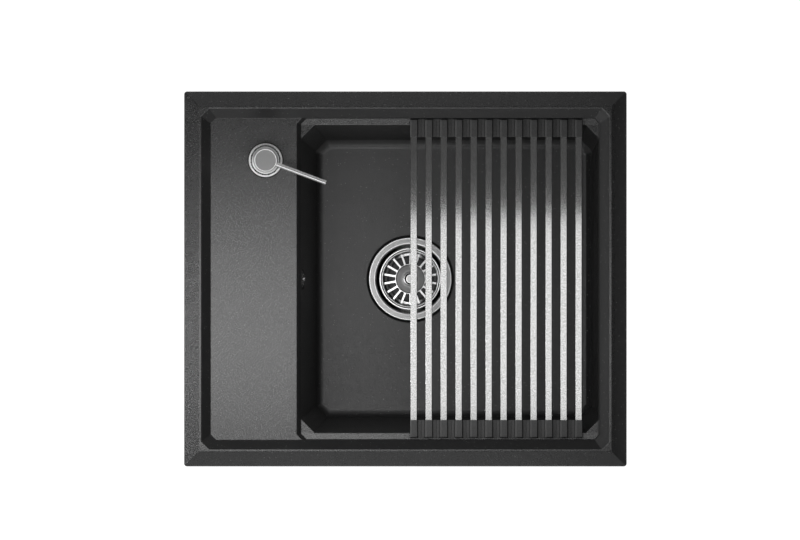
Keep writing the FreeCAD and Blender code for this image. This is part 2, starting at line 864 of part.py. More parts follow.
def basket_knob():
    """Turned grip on the hub, with a ring groove round its button."""
    cap_top_z = knob_cap_z + knob_cap_height
    groove_low_z = cap_top_z - knob_groove_depth
    return turned([
        (0, hub_top_z),
        (knob_neck_radius, hub_top_z),
        (knob_neck_radius, knob_cap_z),
        (knob_radius, knob_cap_z, knob_edge_radius),
        (knob_radius, cap_top_z, knob_edge_radius),
        (knob_button_radius + knob_groove_width, cap_top_z),
        (knob_button_radius + knob_groove_width, groove_low_z),
        (knob_button_radius, groove_low_z),
        (knob_button_radius, cap_top_z),
        (0, cap_top_z),
    ], waste_centre)


def basket_stem():
    """Stem from the hub down to the plate that holds the stopper seal."""
    pin_z = cup_floor_z + waste_screw_head_height - stem_pin_length
    return turned([
        (0, pin_z),
        (stem_pin_radius, pin_z),
        (stem_pin_radius, stopper_top_z),
        (stem_plate_radius, stopper_top_z),
        (stem_plate_radius, plate_top_z),
        (stem_radius, plate_top_z),
        (stem_radius, hub_top_z),
        (0, hub_top_z),
    ], waste_centre)


def stopper_seal():
    """Rubber ring under the plate, which covers the drain holes when the basket is down."""
    return turned([
        (stopper_inner_radius, cup_floor_z),
        (stopper_radius, cup_floor_z, stopper_edge_radius),
        (stopper_radius, stopper_top_z, stopper_edge_radius),
        (stopper_inner_radius, stopper_top_z),
    ], waste_centre)


# The overflow in the left wall of the bowl. Its pieces are drawn upright with the wall's inner
# face at height 0, then laid over to stand square to the sloping wall.

overflow_z = ledge_z - overflow_drop
overflow_lean = math.degrees(math.atan(left_wall_run / (ledge_z - floor_z)))
overflow_x = bowl_left + left_wall_run * overflow_drop / (ledge_z - floor_z)
overflow_back = overflow_seat_thickness + overflow_gasket_thickness
overflow_axis_back = overflow_back + overflow_head_depth / 2
pipe_x = overflow_x - overflow_axis_back * math.cos(math.radians(overflow_lean))
overflow_head_z = overflow_z - overflow_axis_back * math.sin(math.radians(overflow_lean))
socket_end_z = overflow_head_z - socket_drop


def overflow_placed(shape):
    """Shape moved from its upright drawing place to the hole in the bowl's left wall."""
    placed = shape.copy()
    placed.rotate(Vector(0, 0, 0), Vector(0, 1, 0), quarter_turn - overflow_lean)
    placed.translate(Vector(overflow_x, waste_y, overflow_z))
    return placed


def overflow_rosette():
    """Chromed cap in the recess, domed and pierced by a ring of holes."""
    low = -overflow_recess_depth
    edge_z = low + rosette_edge
    top_z = low + rosette_edge + rosette_dome
    bore = rosette_screw_radius + thread_clearance
    cap = turned([
        (bore, top_z - rosette_sheet),
        (rosette_screw_head_radius, top_z - rosette_sheet),
        (rosette_radius - rosette_sheet, edge_z - rosette_sheet / 2),
        (rosette_radius - rosette_sheet, low),
        (rosette_radius, low),
        (rosette_radius, edge_z, rosette_edge_radius),
        (rosette_screw_head_radius, top_z),
        (bore, top_z),
    ])
    hole = rod(rosette_hole_radius, low - overrun, top_z + overrun, Vector(rosette_hole_circle, 0, 0))
    origin = Vector(0, 0, 0)
    cap = cap.cut([turned_to(hole, angle, origin) for angle in around(rosette_hole_count)])
    return overflow_placed(cap)


def overflow_screw():
    """Screw through the cap into the post of the overflow head."""
    seat = rosette_edge + rosette_dome - overflow_recess_depth
    end = -overflow_back - overflow_head_depth / 2
    screw = turned([
        (0, end),
        (rosette_screw_radius, end),
        (rosette_screw_radius, seat),
        (rosette_screw_head_radius, seat),
        (rosette_screw_head_radius, seat + rosette_screw_head_height, rosette_screw_head_height / 2),
        (0, seat + rosette_screw_head_height),
    ])
    return overflow_placed(slotted(screw, rosette_screw_head_radius, seat + rosette_screw_head_height))


def overflow_gasket():
    """Rubber ring between the overflow head and the back of the bowl's wall."""
    return overflow_placed(tube(overflow_head_radius - overflow_gasket_margin, overflow_hole_radius,
                                -overflow_back, -overflow_seat_thickness))


def overflow_head():
    """Plastic box behind the wall, open to the hole, with a socket that points down."""
    back = -overflow_back - overflow_head_depth
    drum = overflow_placed(rod(overflow_head_radius, back, -overflow_back))
    socket = rod(socket_radius, socket_end_z, overflow_head_z, Vector(pipe_x, waste_y, 0))
    chamber = overflow_placed(rod(overflow_head_radius - overflow_head_wall,
                                  back + overflow_head_wall, -overflow_back + overrun))
    bore = rod(pipe_radius + push_fit_clearance, socket_end_z - overrun, overflow_head_z,
               Vector(pipe_x, waste_y, 0))
    post = overflow_placed(rod(overflow_post_radius, back + overflow_head_wall / 2, -overflow_back))
    screw_bore = overflow_placed(rod(rosette_screw_radius + thread_clearance,
                                     -overflow_back - overflow_head_depth / 2 - overrun,
                                     -overflow_back + overrun))
    return drum.fuse(socket).cut([chamber, bore]).fuse(post).cut(screw_bore).removeSplitter()


def overflow_pipe():
    """Rigid pipe that falls from the overflow head and turns into the branch of the waste."""
    top_z = socket_end_z + socket_grip
    end_x = branch_end_x + socket_grip
    bend = pipe_bend_radius
    start = Vector(pipe_x, waste_y, top_z)
    bend_top = Vector(pipe_x, waste_y, branch_z + bend)
    bend_end = Vector(pipe_x + bend, waste_y, branch_z)
    slack = bend * (1 - math.sqrt(0.5))
    bend_middle = Vector(pipe_x + slack, waste_y, branch_z + slack)
    path = Part.Wire([
        Part.LineSegment(start, bend_top).toShape(),
        Part.Arc(bend_top, bend_middle, bend_end).toShape(),
        Part.LineSegment(bend_end, Vector(end_x, waste_y, branch_z)).toShape(),
    ])
    outside = swept(path, start, pipe_radius)
    inside = swept(path, start, pipe_radius - pipe_wall)
    return outside.cut(inside)


def swept(path, start, radius):
    """Round bar that follows a path which starts straight down."""
    ring = Part.Wire(Part.makeCircle(radius, start, Vector(0, 0, -1)))
    return path.makePipeShell([ring], True, True)


def pipe_nut():
    """Plastic nut that grips the pipe at the mouth of a socket, drawn upright."""
    inner = socket_radius + thread_clearance
    outer = inner + nut_wall
    corners = [Vector(outer * math.cos(math.radians(angle)), outer * math.sin(math.radians(angle)), 0)
               for angle in around(nut_sides)]
    body = flat_face(corners).extrude(Vector(0, 0, nut_length))
    wide = rod(inner, nut_length - nut_overlap, nut_length + overrun)
    narrow = rod(pipe_radius + push_fit_clearance, -overrun, nut_length)
    return body.cut([wide, narrow])


def overflow_nuts():
    """The two nuts on the overflow pipe."""
    upper = pipe_nut()
    upper.translate(Vector(pipe_x, waste_y, socket_end_z + nut_overlap - nut_length))
    lower = pipe_nut()
    lower.rotate(Vector(0, 0, 0), Vector(0, 1, 0), quarter_turn)
    lower.translate(Vector(branch_end_x + nut_overlap - nut_length, waste_y, branch_z))
    return Part.makeCompound([upper, lower])


# The soap dispenser on the shelf

dispenser_centre = Vector(dispenser_x, dispenser_y, 0)
seal_top_z = shelf_z + dispenser_seal_thickness
collar_top_z = seal_top_z + shank_collar_height
cover_top_z = seal_top_z + cover_height
shank_end_z = seal_top_z - shank_length
shank_bore_radius = shank_radius - shank_wall
washer_low_z = shelf_under_z - washer_thickness
nut_low_z = washer_low_z - dispenser_nut_height
cover_bore_radius = shank_bore_radius + push_fit_clearance


def dispenser_seal():
    """Rubber ring under the dispenser's cover."""
    return tube(dispenser_seal_radius, dispenser_hole_radius, shelf_z, seal_top_z, dispenser_centre)


def dispenser_shank():
    """Threaded tube with a collar, let down through the hole in the shelf."""
    return turned([
        (shank_bore_radius, shank_end_z),
        (shank_radius, shank_end_z),
        (shank_radius, seal_top_z),
        (shank_collar_radius, seal_top_z),
        (shank_collar_radius, collar_top_z),
        (shank_bore_radius, collar_top_z),
    ], dispenser_centre)


def dispenser_cover():
    """Spun steel cover that hides the collar: a flared skirt rising to a round top."""
    sheet = cover_sheet
    top_z = cover_top_z
    foot_z = seal_top_z + cover_edge
    return turned([
        (cover_bore_radius, top_z),
        (cover_top_radius, top_z, cover_top_edge),
        (cover_top_radius + sheet, foot_z + sheet, cover_bend),
        (cover_radius, foot_z, sheet / 2),
        (cover_radius, seal_top_z),
        (cover_radius - sheet, seal_top_z),
        (cover_radius - sheet, collar_top_z),
        (cover_bore_radius, collar_top_z),
    ], dispenser_centre)


def dispenser_washer():
    """Rubber washer under the shelf."""
    return tube(washer_radius, shank_radius + push_fit_clearance, washer_low_z, shelf_under_z,
                dispenser_centre)


def dispenser_nut():
    """Plastic wing nut that clamps the dispenser to the shelf from below."""
    nut = rod(dispenser_nut_radius, nut_low_z, washer_low_z, dispenser_centre)
    wing = block(0, dispenser_nut_radius + dispenser_nut_wing_reach, -dispenser_nut_wing_width / 2,
                 dispenser_nut_wing_width / 2, nut_low_z, washer_low_z - dispenser_nut_height / 4)
    wing.translate(dispenser_centre)
    wings = [turned_to(wing, angle, dispenser_centre) for angle in around(dispenser_nut_wings)]
    bore = rod(shank_radius + thread_clearance, nut_low_z - overrun, washer_low_z + overrun,
               dispenser_centre)
    return nut.fuse(wings).cut(bore).removeSplitter()


bottle_top_z = shank_end_z + bottle_neck_length
bottle_neck_radius = shank_radius + thread_clearance + bottle_wall
bottle_low_z = shank_end_z - bottle_shoulder - bottle_height


def dispenser_bottle():
    """Blown bottle screwed on the end of the shank."""
    neck_inner = shank_radius + thread_clearance
    shoulder_z = shank_end_z - bottle_shoulder
    inner = bottle_radius - bottle_wall
    return turned([
        (neck_inner, bottle_top_z),
        (bottle_neck_radius, bottle_top_z),
        (bottle_neck_radius, shank_end_z, bottle_wall),
        (bottle_radius, shoulder_z, bottle_edge_radius),
        (bottle_radius, bottle_low_z, bottle_edge_radius),
        (0, bottle_low_z),
        (0, bottle_low_z + bottle_wall),
        (inner, bottle_low_z + bottle_wall, bottle_edge_radius - bottle_wall),
        (inner, shoulder_z - bottle_wall, bottle_edge_radius - bottle_wall),
        (neck_inner, shank_end_z - bottle_wall, bottle_wall),
    ], dispenser_centre)


pump_collar_radius = shank_bore_radius - push_fit_clearance
cylinder_top_z = cover_top_z - pump_collar_depth
cylinder_low_z = cylinder_top_z - cylinder_length
valve_low_z = cylinder_low_z - valve_seat_length
cylinder_bore_radius = cylinder_radius - cylinder_wall
collar_bore_radius = neck_radius + pump_bore_clearance
pump_lip_z = cover_top_z + pump_collar_lip_height
head_low_z = pump_lip_z + head_clearance
head_top_z = head_low_z + head_height
spring_closed_height = spring_turns * (spring_wire_radius + spring_wire_radius)
piston_low_z = cylinder_low_z + pump_travel + spring_closed_height + 4 * spring_end_gap
piston_top_z = piston_low_z + piston_height
nozzle_z = head_low_z + head_height * nozzle_height_share


def pump_body():
    """Plastic pump: a collar that drops into the cover, and the cylinder that hangs from it."""
    step_z = cylinder_top_z
    return turned([
        (collar_bore_radius, pump_lip_z),
        (pump_collar_radius + pump_collar_lip, pump_lip_z, pump_collar_lip_height / 3),
        (pump_collar_radius + pump_collar_lip, cover_top_z),
        (pump_collar_radius, cover_top_z),
        (pump_collar_radius, step_z, cylinder_wall),
        (cylinder_radius, step_z - cylinder_wall),
        (cylinder_radius, cylinder_low_z, cylinder_wall),
        (dip_tube_radius + cylinder_wall, cylinder_low_z - cylinder_wall),
        (dip_tube_radius + cylinder_wall, valve_low_z),
        (dip_tube_radius + push_fit_clearance, valve_low_z),
        (dip_tube_radius + push_fit_clearance, valve_low_z + valve_seat_length / 2),
        (valve_bore_radius - cylinder_wall, valve_low_z + valve_seat_length / 2),
        (valve_bore_radius - cylinder_wall, cylinder_low_z - cylinder_wall - ball_radius),
        (valve_bore_radius, cylinder_low_z - cylinder_wall),
        (valve_bore_radius, cylinder_low_z),
        (cylinder_bore_radius, cylinder_low_z),
        (cylinder_bore_radius, step_z),
        (collar_bore_radius, step_z + cylinder_wall),
    ], dispenser_centre)


def inlet_ball():
    """Steel ball that closes the cylinder's inlet."""
    ball_z = cylinder_low_z - cylinder_wall + ball_radius / 2
    return Part.makeSphere(ball_radius, dispenser_centre + Vector(0, 0, ball_z))


def dip_tube():
    """Thin plastic tube from the pump to just above the bottle's floor."""
    low_z = bottle_low_z + bottle_wall + dip_tube_floor_gap
    return tube(dip_tube_radius, dip_tube_radius - dip_tube_wall, low_z,
                valve_low_z + valve_seat_length / 2, dispenser_centre)


def pump_spring():
    """Coil spring between the cylinder's floor and the piston."""
    coil_radius = cylinder_bore_radius - spring_side_gap - spring_wire_radius
    low_z = cylinder_low_z + spring_end_gap + spring_wire_radius
    high_z = piston_low_z - spring_end_gap - spring_wire_radius
    pitch = (high_z - low_z) / spring_turns
    centre_line = Part.Wire(Part.makeHelix(pitch, high_z - low_z, coil_radius))
    start = Vector(coil_radius, 0, 0)
    ring = Part.Wire(Part.makeCircle(spring_wire_radius, start, Vector(0, coil_radius, pitch / math.tau)))
    coil = centre_line.makePipeShell([ring], True, True)
    coil.translate(dispenser_centre + Vector(0, 0, low_z))
    return coil


def pump_piston():
    """Plastic piston with a lip at both ends."""
    bore = pump_stem_radius
    outer = cylinder_bore_radius - piston_clearance
    waist = outer - cylinder_wall
    lip = piston_height / 4
    return turned([
        (bore, piston_low_z),
        (outer, piston_low_z),
        (outer, piston_low_z + lip),
        (waist, piston_low_z + lip + lip / 2),
        (waist, piston_top_z - lip - lip / 2),
        (outer, piston_top_z - lip),
        (outer, piston_top_z),
        (bore, piston_top_z),
    ], dispenser_centre)


def pump_stem():
    """Tube that carries the soap from the piston to the head."""
    return tube(pump_stem_radius, pump_stem_radius - pump_stem_wall, piston_low_z,
                head_low_z + stem_in_head, dispenser_centre)


def pump_head():
    """Solid steel head with a rim round its dished top and a neck that slides in the collar."""
    neck_low_z = cylinder_top_z + cylinder_wall + pump_travel
    rim_inner = head_radius - head_rim_width
    dish_z = head_top_z - head_dish_depth
    head = turned([
        (neck_bore_radius, neck_low_z),
        (neck_radius, neck_low_z),
        (neck_radius, head_low_z),
        (head_radius, head_low_z, head_skirt_radius),
        (head_radius, head_top_z, head_edge_radius),
        (rim_inner, head_top_z, head_rim_edge),
        (rim_inner - head_dish_depth, dish_z),
        (0, dish_z),
        (0, head_low_z + stem_in_head),
        (neck_bore_radius, head_low_z + stem_in_head),
    ], dispenser_centre)
    seat = nozzle_bar(nozzle_radius + thread_clearance, head_radius - nozzle_seat_depth, nozzle_reach)
    channel = nozzle_bar(nozzle_radius - nozzle_wall, 0, nozzle_reach)
    return head.cut([seat, channel])


def nozzle_bar(radius, start, end):
    """Level round bar along the nozzle's line, between two distances from the pump's axis."""
    bar = Part.makeCylinder(radius, end - start, Vector(start, 0, nozzle_z), Vector(1, 0, 0))
    bar.rotate(Vector(0, 0, 0), Vector(0, 0, 1), nozzle_angle)
    bar.translate(dispenser_centre)
    return bar


def pump_nozzle():
    """Straight steel tube that reaches out over the bowl."""
    start = head_radius - nozzle_seat_depth
    bar = nozzle_bar(nozzle_radius, start, nozzle_reach)
    return bar.cut(nozzle_bar(nozzle_radius - nozzle_wall, start - overrun, nozzle_reach + overrun))


# The roll-up rack that lies on the two ledges

rack_low_z = ledge_z + seat_gap
bar_low_z = rack_low_z + (cap_height - bar_height) / 2
fold_z = rack_low_z + web_thickness


def section_x(index):
    """Middle of a rack section, counted from the left."""
    return rack_left + cap_width / 2 + rack_pitch * index


def rack_bar(index):
    """Flat stainless tube of the rack."""
    x = section_x(index)
    half_length_y = cap_half_length - cap_end_wall
    outer = along_y(bar_width / 2, bar_height, bar_edge_radius, bar_low_z, half_length_y)
    inner = along_y(bar_width / 2 - bar_wall, bar_height - bar_wall - bar_wall, 0,
                    bar_low_z + bar_wall, half_length_y + overrun)
    bar = outer.cut(inner)
    bar.translate(Vector(x, rack_middle_y, 0))
    return bar


def along_y(half_width_x, height, edge_radius, low_z, half_length_y):
    """Bar along Y with a rounded oblong section, standing on low_z."""
    high_z = low_z + height
    return extruded([
        (-half_width_x, low_z, edge_radius),
        (half_width_x, low_z, edge_radius),
        (half_width_x, high_z, edge_radius),
        (-half_width_x, high_z, edge_radius),
    ], half_length_y)


def end_cap(index, side):
    """Silicone cap on one end of a bar, with its half of the webs to the next caps."""
    half_cap = cap_width / 2
    half_pitch = rack_pitch / 2 - fold_gap / 2
    left = -half_pitch if index > 0 else -half_cap
    right = half_pitch if index < rack_bar_count - 1 else half_cap
    outer_y = cap_half_length
    inner_y = cap_half_length - cap_length
    cap = extruded([
        (-half_cap, rack_low_z),
        (half_cap, rack_low_z),
        (half_cap, rack_low_z + cap_height, cap_edge_radius),
        (-half_cap, rack_low_z + cap_height, cap_edge_radius),
    ], cap_length / 2)
    cap.translate(Vector(0, (outer_y + inner_y) / 2, 0))
    web = block(left, right, inner_y, outer_y + web_overhang, rack_low_z, fold_z)
    pocket = along_y(bar_width / 2 + thread_clearance, bar_height + thread_clearance + thread_clearance,
                     bar_edge_radius, bar_low_z - thread_clearance, cap_half_length - cap_end_wall)
    piece = cap.fuse(web).cut(pocket).removeSplitter()
    if side < 0:
        piece = piece.mirror(Vector(0, 0, 0), Vector(0, 1, 0))
    piece.translate(Vector(section_x(index), rack_middle_y, 0))
    return piece


def end_caps(index):
    """The two caps of one rack section, back and front."""
    return Part.makeCompound([end_cap(index, 1), end_cap(index, -1)])


os.makedirs("parts", exist_ok=True)

write(basin(), "basin")
write(seal_ring(), "rim_seal")
write(clip_brackets(), "worktop_clip_brackets")
write(bracket_screws(), "bracket_screws")
write(clamp_screws(), "worktop_clamp_screws")

write(strainer_flange(), "strainer_flange")
write(flange_gasket(), "flange_gasket")
write(body_gasket(), "waste_body_gasket")
write(waste_body(), "waste_body")
write(waste_screw(), "waste_screw")
write(strainer_basket(), "strainer_basket")
write(basket_knob(), "basket_knob")
write(basket_stem(), "basket_stem")
write(stopper_seal(), "stopper_seal")

write(overflow_rosette(), "overflow_rosette")
write(overflow_screw(), "overflow_screw")
write(overflow_gasket(), "overflow_gasket")
write(overflow_head(), "overflow_head")
write(overflow_pipe(), "overflow_pipe")
write(overflow_nuts(), "overflow_pipe_nuts")

write(dispenser_seal(), "dispenser_seal")
write(dispenser_shank(), "dispenser_shank")
write(dispenser_cover(), "dispenser_cover")
write(dispenser_washer(), "dispenser_washer")
write(dispenser_nut(), "dispenser_nut")
write(dispenser_bottle(), "dispenser_bottle")
write(pump_body(), "pump_body")
write(inlet_ball(), "pump_inlet_ball")
write(dip_tube(), "pump_dip_tube")
write(pump_spring(), "pump_spring")
write(pump_piston(), "pump_piston")
write(pump_stem(), "pump_stem")
write(pump_head(), "pump_head")
write(pump_nozzle(), "pump_nozzle")

for bar_index in range(rack_bar_count):
    write(rack_bar(bar_index), "rack_bar_%02d" % (bar_index + 1))
    write(end_caps(bar_index), "rack_end_caps_%02d" % (bar_index + 1))
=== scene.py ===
import json
import math

import bpy
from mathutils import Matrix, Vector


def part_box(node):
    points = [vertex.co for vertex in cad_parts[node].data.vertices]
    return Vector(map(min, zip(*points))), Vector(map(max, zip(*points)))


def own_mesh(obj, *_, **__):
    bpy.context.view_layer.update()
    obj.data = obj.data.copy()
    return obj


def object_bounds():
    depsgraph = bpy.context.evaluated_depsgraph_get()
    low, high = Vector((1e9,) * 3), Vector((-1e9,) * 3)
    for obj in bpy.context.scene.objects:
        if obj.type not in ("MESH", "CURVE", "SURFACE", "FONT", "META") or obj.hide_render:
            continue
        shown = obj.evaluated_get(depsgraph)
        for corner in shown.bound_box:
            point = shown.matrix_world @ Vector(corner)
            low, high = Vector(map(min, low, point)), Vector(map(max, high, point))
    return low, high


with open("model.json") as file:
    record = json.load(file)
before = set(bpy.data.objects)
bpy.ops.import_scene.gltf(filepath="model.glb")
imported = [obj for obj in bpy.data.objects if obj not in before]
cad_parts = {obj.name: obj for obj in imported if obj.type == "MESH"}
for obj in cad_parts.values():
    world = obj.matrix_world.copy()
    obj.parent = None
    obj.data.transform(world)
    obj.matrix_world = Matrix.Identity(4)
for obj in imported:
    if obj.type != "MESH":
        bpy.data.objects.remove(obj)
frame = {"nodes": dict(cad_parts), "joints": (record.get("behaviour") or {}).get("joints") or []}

cad_low, cad_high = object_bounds()
nodes = frame["nodes"]


# The camera hangs straight above the sink, level with it, and sees no perspective.
# The picture is 800 pixels wide and each pixel covers 4/3 mm of the worktop's plane.
picture_width = 800
metres_per_pixel = 0.004 / 3
camera_height = 2.5
picture_middle = (-0.0072, 0.0119)

camera_data = bpy.data.cameras.new("camera")
camera_data.type = "ORTHO"
camera_data.ortho_scale = picture_width * metres_per_pixel
camera = bpy.data.objects.new("camera", camera_data)
camera.location = (*picture_middle, camera_height)
bpy.context.scene.collection.objects.link(camera)
bpy.context.scene.camera = camera


# The light is one low soft box straight above the front of the sink, brighter to the left. Its back
# edge shows in the bars of the rack, which are dark behind it. Weak panels stand at the left, in
# front and behind.
def soft_panel(name, width, depth, place, level, tilt=0.0, turn=0.0):
    """Soft panel that faces down unless it is tilted; at level 1 it reads as white."""
    data = bpy.data.lights.new(name, "AREA")
    data.shape = "RECTANGLE"
    data.size = width
    data.size_y = depth
    data.energy = level * math.pi * width * depth
    panel = bpy.data.objects.new(name, data)
    panel.location = place
    panel.rotation_euler = (tilt, 0.0, turn)
    panel.visible_camera = False
    bpy.context.scene.collection.objects.link(panel)


def light_panel(name, left, right, front, back, height, level):
    """Soft panel that hangs level over this stretch of the worktop."""
    middle_of_panel = ((left + right) / 2, (front + back) / 2, height)
    soft_panel(name, right - left, back - front, middle_of_panel, level)


box_height = 0.65
low_height = 0.5
box_back = 0.084
# Each row gives a panel's left, right, front and back edges, its height and its level.
light_panel("soft_box_left", -0.55, -0.05, -0.23, box_back, box_height, 3.4)
light_panel("soft_box_right", -0.05, 0.32, -0.195, box_back, box_height, 2.04)
light_panel("far_left_panel", -1.05, -0.8, -0.13, -0.04, box_height, 22.0)
light_panel("front_panel", -0.45, 0.3, -1.2, -0.6, box_height, 0.75)
light_panel("low_front_panel", -0.6, 0.3, -2.4, -1.4, low_height, 1.0)
light_panel("back_panel", -0.5, 0.3, 0.6, 1.0, box_height, 0.55)
light_panel("rack_panel", -0.02, 0.34, box_back, 0.32, box_height, 0.14)

# Four upright panels stand low round the sink and light what hangs below the worktop. They stay
# under the rim, so the sink's top hardly sees them.
upright_distance = 0.62
upright_width = 0.9
upright_height = 0.12
upright_middle_z = -0.2
upright_level = 2.0
quarter_turn = math.pi / 2
for quarters, side_highlight in enumerate(("front", "right", "back", "left")):
    turn = quarters * quarter_turn
    place_x = upright_distance * math.sin(turn)
    place_y = -upright_distance * math.cos(turn)
    soft_panel("upright_" + side_highlight, upright_width, upright_height,
               (place_x, place_y, upright_middle_z), upright_level, tilt=quarter_turn, turn=turn)


# The floor is a plain white sheet under the lowest piece, far larger than the sink. Where the
# camera, metal or glass sees it, part of its white is its own, so it stays white and keeps
# a shadow.
class Wire:
    """A socket in a material. Sums and products of wires add Math nodes; node() adds the rest."""

    def __init__(self, tree, socket=None):
        self.tree = tree
        self.socket = socket

    def node(self, kind, settings, sockets, output=0):
        """New node of a kind: settings are made first, then sockets take values or wires."""
        made = self.tree.nodes.new(kind)
        for name, setting in settings.items():
            setattr(made, name, setting)
        for name, value in sockets.items():
            if isinstance(value, Wire):
                self.tree.links.new(value.socket, made.inputs[name])
            else:
                made.inputs[name].default_value = value
        return Wire(self.tree, made.outputs[output] if len(made.outputs) else None)

    def math(self, operation, *values):
        return self.node("ShaderNodeMath", {"operation": operation}, dict(enumerate(values)))

    def absolute(self):
        return self.math("ABSOLUTE", self)

    def __add__(self, other):
        return self.math("ADD", self, other)

    def __mul__(self, other):
        return self.math("MULTIPLY", self, other)

    def __sub__(self, other):
        return self.math("SUBTRACT", self, other)

    def __rsub__(self, other):
        return self.math("SUBTRACT", other, self)

    def __truediv__(self, other):
        return self.math("DIVIDE", self, other)

    __radd__ = __add__
    __rmul__ = __mul__

    def between(self, low, high):
        """0 where the wire is at low or less, 1 at high or more, and straight between them."""
        return self.node("ShaderNodeMapRange", {"clamp": True},
                         {"Value": self, "From Min": low, "From Max": high})

    def within(self, low, high, soft):
        """1 from low to high, falling to 0 over a soft stretch inside each end."""
        return self.between(low, low + soft) * self.between(high, high - soft)

    def blended(self, first, second):
        """The first colour where the wire is 0 and the second where it is 1."""
        return self.node("ShaderNodeMix", {"data_type": "RGBA"},
                         {"Factor": self, 6: first, 7: second}, 2)

    def along(self, axis):
        """X, Y or Z of a wire of places or directions."""
        return self.node("ShaderNodeSeparateXYZ", {}, {"Vector": self}, axis)

    def stretched(self, x, y, z):
        """A wire of places, multiplied by x, y and z."""
        return self.node("ShaderNodeVectorMath", {"operation": "MULTIPLY"}, {0: self, 1: (x, y, z)})

    def distance_from(self, centre):
        """Distance of a wire of places from an upright axis."""
        from_axis = self.node("ShaderNodeVectorMath", {"operation": "SUBTRACT"},
                              {0: self, 1: (*centre, 0)}).stretched(1, 1, 0)
        return self.node("ShaderNodeVectorMath", {"operation": "LENGTH"}, {0: from_axis}, "Value")

    def noise(self, scale, detail=2.0):
        """Soft noise over a wire of places, with that many waves to the metre."""
        return self.node("ShaderNodeTexNoise", {},
                         {"Vector": self, "Scale": scale, "Detail": detail}, "Fac")

    def places(self):
        """Where a point is, in the frame that the whole sink shares."""
        return self.node("ShaderNodeTexCoord", {}, {}, "Object")

    def rays(self, *kinds):
        """1 for rays of these kinds and 0 for others."""
        return sum(self.node("ShaderNodeLightPath", {}, {}, kind) for kind in kinds)


def new_material(name):
    """Empty material, and a wire that adds nodes to it."""
    material = bpy.data.materials.new(name)
    material.use_nodes = True
    material.node_tree.nodes.clear()
    return material, Wire(material.node_tree)


floor_half_size = 12.0
floor_colour = (0.8, 0.8, 0.8, 1)
floor_shadow_colour = (0.3, 0.3, 0.3, 1)
floor_own_white = 0.98

white_floor, wire = new_material("white_floor")
seen = wire.rays("Is Camera Ray", "Is Glossy Ray", "Is Transmission Ray")
paper = wire.node("ShaderNodeBsdfDiffuse", {}, {"Color": floor_colour})
shadow = wire.node("ShaderNodeBsdfDiffuse", {}, {"Color": floor_shadow_colour})
own_light = wire.node("ShaderNodeEmission", {}, {"Strength": floor_own_white})
shadow_on_white = wire.node("ShaderNodeAddShader", {}, {0: shadow, 1: own_light})
surface = wire.node("ShaderNodeMixShader", {},
                    {0: seen.between(0, 1), 1: paper, 2: shadow_on_white})
wire.node("ShaderNodeOutputMaterial", {}, {"Surface": surface})

# The room is white where the camera sees it. In metal it is pale low down at the sink's left and
# front, its walls are lit in a band, and it is dim overhead, as the photo's bars and rings show.
room_level = 0.02
room_middle = 0.18
room_left = 0.22
room_front = 0.11
low_room_rise = (0.1, 0.5)
wall_level = 0.36
wall_rise = (0.3, 0.8, 0.12)

room = bpy.data.worlds.new("room")
room.use_nodes = True
room.node_tree.nodes.clear()
wire = Wire(room.node_tree)
seen = wire.rays("Is Camera Ray", "Is Transmission Ray")
in_metal = wire.rays("Is Glossy Ray")
direction = wire.node("ShaderNodeTexCoord", {}, {}, "Generated")
rise = direction.along("Z")
low_level = room_middle - room_left * direction.along("X") - room_front * direction.along("Y")
low_room = low_level * (1 - rise.between(*low_room_rise))
strength = seen + in_metal * (low_room + wall_level * rise.within(*wall_rise)) + room_level
room_light = wire.node("ShaderNodeBackground", {}, {"Strength": strength})
wire.node("ShaderNodeOutputWorld", {}, {"Surface": room_light})
bpy.context.scene.world = room
bpy.context.scene.view_settings.view_transform = "Standard"

floor_corners = [(side_x * floor_half_size, side_y * floor_half_size, cad_low.z)
                 for side_x, side_y in ((-1, -1), (1, -1), (1, 1), (-1, 1))]
floor_mesh = bpy.data.meshes.new("white_floor")
floor_mesh.from_pydata(floor_corners, [], [(0, 1, 2, 3)])
floor_mesh.materials.append(white_floor)
floor = bpy.data.objects.new("white_floor", floor_mesh)
bpy.context.scene.collection.objects.link(floor)


# The basin is one moulding of quartz grains and black resin, poured round a steel core. It is matt,
# close to black, with a faint fine grain all over and a pale grain here and there. A painted shadow
# lies as a dark, dull ring round the flange and the cover, and a painted highlight lightens the
# foot of the back wall.
def finish(material, wire, sockets):
    """Close a material with one surface that has these sockets, and return it."""
    surface = wire.node("ShaderNodeBsdfPrincipled", {}, sockets)
    wire.node("ShaderNodeOutputMaterial", {}, {"Surface": surface})
    return material


def dress(material, *names):
    """Give CAD nodes a material through their slots."""
    for name in names:
        for slot in nodes[name].material_slots:
            slot.material = material


def raised(wire, height, depth, edge=0.0003):
    """Normal of a surface with a relief, depth metres deep where height is 1, and eased edges."""
    eased = wire.node("ShaderNodeBevel", {"samples": 4}, {"Radius": edge})
    return wire.node("ShaderNodeBump", {},
                     {"Height": height, "Distance": depth, "Normal": eased}, "Normal")


stone_black = (0.008, 0.008, 0.0083, 1)
stone_grey = (0.022, 0.022, 0.0225, 1)
pale_grain = (0.20, 0.20, 0.195, 1)
grain_size = 0.0008
pale_grain_share = 0.006
cloud_scale = 30.0
ledge_half_y = (0.2049, 0.2139)
ledge_z = -0.019
ledge_band = (0.001, 0.0005)
ledge_fall = 0.0005
floor_z = -0.191
foot_height = 0.012
foot_start = 0.0004
foot_soft = 0.0006
foot_highlight_grey = (0.08, 0.08, 0.08, 1)
back_foot_y = (0.166, 0.17)
right_foot_x = (0.237, 0.239)
right_wall_x = (0.2555, 0.2575)
right_wall_z = (0.008, -0.003)
flange_shadow_ring = (0.0550, 0.0585, 0.0002)
cover_shadow_ring = (0.0220, 0.0242, 0.0004)
shade_black = (0.001, 0.001, 0.001, 1)
steep_slope = (0.85, 0.3)
relief_scale = 900.0
relief_noise = 0.22
relief_grain = 0.1
stone_edge = 0.0015
level_roughness = 0.26
grain_roughness = 0.1
worn_roughness = 0.13
